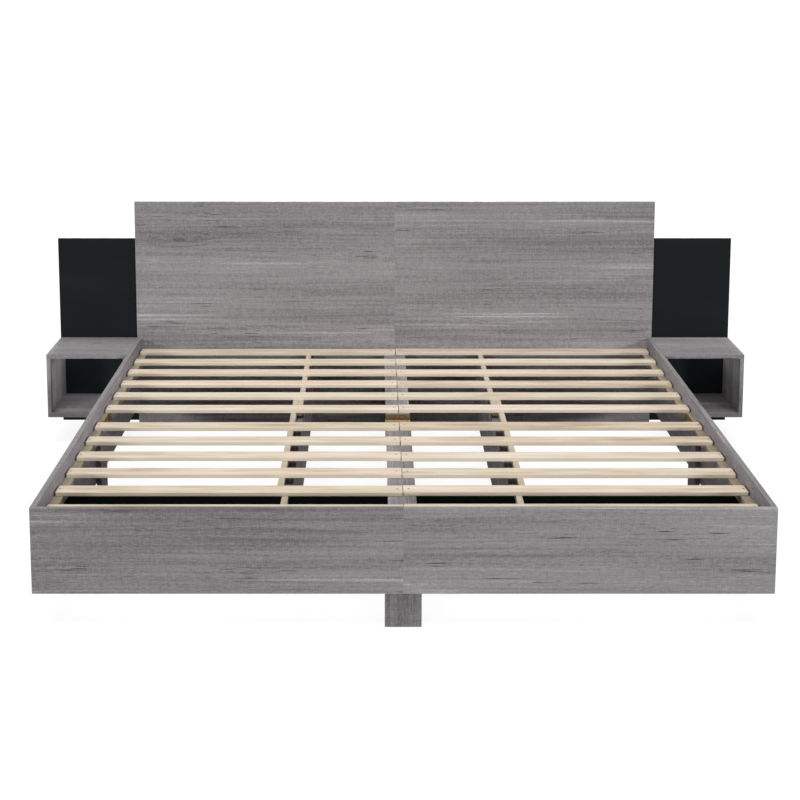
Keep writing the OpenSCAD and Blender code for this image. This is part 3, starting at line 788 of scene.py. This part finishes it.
def add_dowel(mesh, corners, rng):
    """A fluted dowel with bevelled ends."""
    start, direction, radius, _, length = turned_solid(corners)
    place = placing(start, direction, rng.uniform(0, math.tau))
    flute = radius * DOWEL_FLUTE
    rings = [
        ring(radius * DOWEL_END, 0.0, DOWEL_POINTS),
        ring(radius, DOWEL_BEVEL, DOWEL_POINTS, flute),
        ring(radius, length - DOWEL_BEVEL, DOWEL_POINTS, flute),
        ring(radius * DOWEL_END, length, DOWEL_POINTS),
    ]
    add_turned(mesh, place, rings)


def rebuild(name, build, material, rng):
    """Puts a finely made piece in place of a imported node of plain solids."""
    mesh = bmesh.new()
    for corners in solids_of(name):
        build(mesh, corners, rng)
    bmesh.ops.recalc_face_normals(mesh, faces=mesh.faces)
    data = bpy.data.meshes.new(f"{name}_detail")
    mesh.to_mesh(data)
    mesh.free()
    data.set_sharp_from_angle(angle=math.radians(SHARP_ANGLE))
    data.materials.append(material)
    piece = bpy.data.objects.new(f"{name}_detail", data)
    bpy.context.scene.collection.objects.link(piece)
    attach(piece, "root")
    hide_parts(name)


# How bright each kind of plated piece is. The slat screws are darkened as painted shade, for the
# shade in their recesses
SCREW_PALE_AND_SHADE = {"slat_screws": 0.62, "frame_screws": 1.0}
CAM_PALE = 0.9


def dress_hardware(rng):
    for name, pale in SCREW_PALE_AND_SHADE.items():
        rebuild(name, add_screw, zinc(f"zinc_{name}", rng, pale), rng)
    rebuild("cam_locks", add_cam_part, zinc("zinc_cam_locks", rng, CAM_PALE), rng)
    beech = pine("beech_dowels", "z", box_of("dowels"), rng, "x")
    rebuild("dowels", add_dowel, beech, rng)
    dress("angle_brackets", zinc("zinc_angle_brackets", rng), METAL_EASE, METAL_EASE_STEPS)


# The floor: its side in metres, the grey that lights the object from below, and the glow and
# the diffuse share that the camera sees. The object's shadow darkens the share
FLOOR_SIZE = 400.0
FLOOR_ALBEDO = 0.10
FLOOR_GLOW = 0.90
FLOOR_SHARE = 0.19
WHITE = (1, 1, 1, 1)
BACKGROUND_RAYS = ("Is Camera Ray", "Is Glossy Ray", "Is Transmission Ray")

# The light: the world's strength, and each far lamp's azimuth, elevation, strength and
# softness, in degrees but for the strength
WORLD_LIGHT = 0.06
LAMP_DISTANCE = 12
LAMPS = {
    "top_lamp": (-10, 85, 2.30, 55),
    "front_left_lamp": (-27, 9.7, 1.27, 7),
    "front_right_lamp": (27, 9.7, 1.27, 7),
    "left_lamp": (-95, 8, 0.95, 14),
    "right_lamp": (95, 8, 0.95, 14),
    "back_lamp": (180, 8, 1.90, 14),
}

# The lamps in the nightstands' openings: power in watts, spread in degrees, how much narrower
# and lower than the opening they are, and how far behind its front they stand
SHELF_LIGHT = {"left": 0.36, "right": 0.14}
SHELF_SPREAD = 120.0
SHELF_LAMP_NARROWER = 50 * MM
SHELF_LAMP_LOWER = 20 * MM
SHELF_LAMP_INSET = 6 * MM


def background_rays(tree):
    """1 for the rays that see the background white: the camera's, and those of gloss and glass."""
    path = tree.nodes.new("ShaderNodeLightPath")
    seen = path.outputs[BACKGROUND_RAYS[0]]
    for ray in BACKGROUND_RAYS[1:]:
        most = tree.nodes.new("ShaderNodeMath")
        most.operation = "MAXIMUM"
        tree.links.new(seen, most.inputs[0])
        tree.links.new(path.outputs[ray], most.inputs[1])
        seen = most.outputs[0]
    return seen


def white_for_camera(g, shader):
    """Shows the background's rays a glow with a faint diffuse share in place of a shader."""
    light = g.node("ShaderNodeEmission")
    light.inputs["Color"].default_value = WHITE
    light.inputs["Strength"].default_value = FLOOR_GLOW
    faint = g.node("ShaderNodeBsdfDiffuse")
    faint.inputs["Color"].default_value = (FLOOR_SHARE, FLOOR_SHARE, FLOOR_SHARE, 1)
    both = g.node("ShaderNodeAddShader")
    g.tree.links.new(light.outputs[0], both.inputs[0])
    g.tree.links.new(faint.outputs[0], both.inputs[1])
    choice = g.node("ShaderNodeMixShader")
    g.feed(choice.inputs[0], background_rays(g.tree))
    g.tree.links.new(shader.outputs[0], choice.inputs[1])
    g.tree.links.new(both.outputs[0], choice.inputs[2])
    g.tree.links.new(choice.outputs[0], g.out.inputs["Surface"])
    return g.material


def make_floor():
    mesh = bpy.data.meshes.new("floor")
    half = FLOOR_SIZE / 2
    corners = [(-half, -half, 0), (half, -half, 0), (half, half, 0), (-half, half, 0)]
    mesh.from_pydata(corners, [], [(0, 1, 2, 3)])
    floor = bpy.data.objects.new("floor", mesh)
    bpy.context.scene.collection.objects.link(floor)
    g = Graph("pale_floor")
    plain = g.node("ShaderNodeBsdfDiffuse")
    plain.inputs["Color"].default_value = (FLOOR_ALBEDO, FLOOR_ALBEDO, FLOOR_ALBEDO, 1)
    mesh.materials.append(white_for_camera(g, plain))


def make_world():
    """A white world for the background's rays, which lights the object faintly."""
    world = bpy.data.worlds.new("studio")
    bpy.context.scene.world = world
    world.use_nodes = True
    tree = world.node_tree
    tree.nodes.clear()
    out = tree.nodes.new("ShaderNodeOutputWorld")
    seen = tree.nodes.new("ShaderNodeBackground")
    seen.inputs["Strength"].default_value = 1.0
    light = tree.nodes.new("ShaderNodeBackground")
    light.inputs["Strength"].default_value = WORLD_LIGHT
    for background in (seen, light):
        background.inputs["Color"].default_value = WHITE
    choice = tree.nodes.new("ShaderNodeMixShader")
    tree.links.new(background_rays(tree), choice.inputs[0])
    tree.links.new(light.outputs[0], choice.inputs[1])
    tree.links.new(seen.outputs[0], choice.inputs[2])
    tree.links.new(choice.outputs[0], out.inputs["Surface"])


def make_lamp(name, azimuth, elevation, strength, softness):
    """A far soft lamp. Its azimuth turns from the foot of the bed towards the right side."""
    data = bpy.data.lights.new(name, "SUN")
    data.energy = strength
    data.angle = math.radians(softness)
    lamp = bpy.data.objects.new(name, data)
    turn, rise = math.radians(azimuth), math.radians(elevation)
    towards = Vector((
        math.sin(turn) * math.cos(rise), -math.cos(turn) * math.cos(rise), math.sin(rise),
    ))
    lamp.location = towards * LAMP_DISTANCE
    lamp.rotation_mode = "QUATERNION"
    lamp.rotation_quaternion = towards.to_track_quat("Z", "Y")
    bpy.context.scene.collection.objects.link(lamp)


def make_shelf_lamp(side):
    """A soft lamp just inside a nightstand's opening that shines inwards and shows its inside."""
    low, high = box_of(f"stand_top_{side}")
    floor = box_of(f"stand_bottom_{side}")[1][2]
    data = bpy.data.lights.new(f"shelf_lamp_{side}", "AREA")
    data.shape = "RECTANGLE"
    data.size = high[0] - low[0] - SHELF_LAMP_NARROWER
    data.size_y = low[2] - floor - SHELF_LAMP_LOWER
    data.energy = SHELF_LIGHT[side]
    data.spread = math.radians(SHELF_SPREAD)
    lamp = bpy.data.objects.new(f"shelf_lamp_{side}", data)
    lamp.location = ((low[0] + high[0]) / 2, low[1] + SHELF_LAMP_INSET, (low[2] + floor) / 2)
    lamp.rotation_euler = (math.radians(90), 0, 0)
    lamp.visible_camera = False
    lamp.visible_glossy = False
    bpy.context.scene.collection.objects.link(lamp)


def make_lights():
    make_world()
    for name, aim in LAMPS.items():
        make_lamp(name, *aim)
    for side in SIDES:
        make_shelf_lamp(side)


# The camera: place and sight in metres, tilt in degrees, lens and sensor in millimetres, and
# shift in widths of the frame. Its distance, height and upright shift were chosen by trying.
# The place across, tilt, lens and sideways shift were fitted by least squares to the bed's
# corners as a level camera shows them
CAMERA_PLACE = (-0.0784, -5.380, 1.765)
CAMERA_TILT = 9.204
CAMERA_LENS = 75.81
CAMERA_SENSOR = 36.0
CAMERA_SHIFT = (0.0322, -0.20)
CAMERA_SIGHT = 1000.0


def make_camera():
    data = bpy.data.cameras.new("camera")
    data.sensor_fit = "HORIZONTAL"
    data.sensor_width = CAMERA_SENSOR
    data.lens = CAMERA_LENS
    data.shift_x, data.shift_y = CAMERA_SHIFT
    data.clip_end = CAMERA_SIGHT
    data.dof.use_dof = False
    camera = bpy.data.objects.new("camera", data)
    camera.location = CAMERA_PLACE
    camera.rotation_euler = (math.radians(90 - CAMERA_TILT), 0, 0)
    bpy.context.scene.collection.objects.link(camera)
    bpy.context.scene.camera = camera


make_camera()
chance = random.Random(SEED)
dress_boards(chance)
dress_timber(chance)
dress_hardware(chance)
make_floor()
make_lights()
bpy.context.scene.view_settings.view_transform = "Standard"
